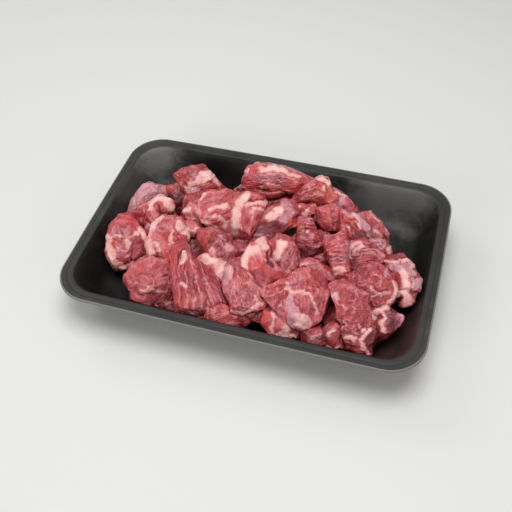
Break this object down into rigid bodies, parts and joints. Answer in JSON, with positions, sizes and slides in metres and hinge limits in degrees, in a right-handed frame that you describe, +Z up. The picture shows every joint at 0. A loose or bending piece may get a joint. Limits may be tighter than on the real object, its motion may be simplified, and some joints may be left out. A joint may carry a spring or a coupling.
{
  "type": "meat tray pack",
  "caption": "Black foam supermarket tray, open, heaped with diced raw red meat marbled with fat and silverskin.",
  "frame": {"origin": "centre of the tray's underside", "axes": "+X along the tray's long side, +Y across the tray toward its back, +Z up out of the tray"},
  "size_m": [0.27, 0.1788, 0.0609],
  "materials": {
    "foam": "black expanded foam, faintly beaded, soft sheen",
    "lean_meat": "wet raw red meat with fibre grain and pale marbling",
    "fatty_meat": "wet raw meat with bands of cream fat",
    "silverskin_meat": "wet raw meat under lilac-white silverskin"
  },
  "bodies": {
    "root": {"tray": "foam", "strip": "lean_meat", "pale_oval": "lean_meat", "fat_band": "fatty_meat", "fat_ring": "fatty_meat", "silver_band": "silverskin_meat", "mid_marbled": "lean_meat", "purple": "lean_meat", "mid_fan": "lean_meat", "back_hump": "lean_meat", "red_ball": "lean_meat", "back_fatcap": "lean_meat", "fat_knob": "fatty_meat", "fatty_fold": "fatty_meat", "mid_red": "lean_meat", "fat_bits": "fatty_meat", "corner_cube": "lean_meat", "front_centre": "lean_meat", "front_right": "lean_meat", "centre_left": "lean_meat", "right_marbled": "lean_meat", "silver_twist": "silverskin_meat", "fat_curl": "fatty_meat", "left_round": "lean_meat", "front_fibre": "lean_meat", "pink_fold": "silverskin_meat", "centre_cube": "lean_meat", "pink_saddle": "lean_meat", "pale_wedge": "fatty_meat", "fat_scraps": "fatty_meat", "back_shoulder": "fatty_meat", "right_block": "lean_meat", "lilac_slab": "silverskin_meat", "small_wedge": "lean_meat", "dark_back": "lean_meat", "back_tail": "lean_meat", "small_tail": "lean_meat", "front_left": "lean_meat", "right_corner": "lean_meat", "front_right_low": "lean_meat", "front_toe": "lean_meat", "bottom_fatty": "fatty_meat", "bottom_red": "lean_meat", "bottom_pink": "silverskin_meat", "bottom_left": "lean_meat", "under_front": "lean_meat", "low_left": "lean_meat", "low_back_left": "lean_meat", "low_back": "lean_meat", "low_back_right": "lean_meat", "low_right": "lean_meat", "low_mid_left": "lean_meat", "low_middle": "lean_meat", "low_mid_right": "lean_meat", "low_front": "lean_meat", "low_front_right": "lean_meat"}
  },
  "joints": []
}
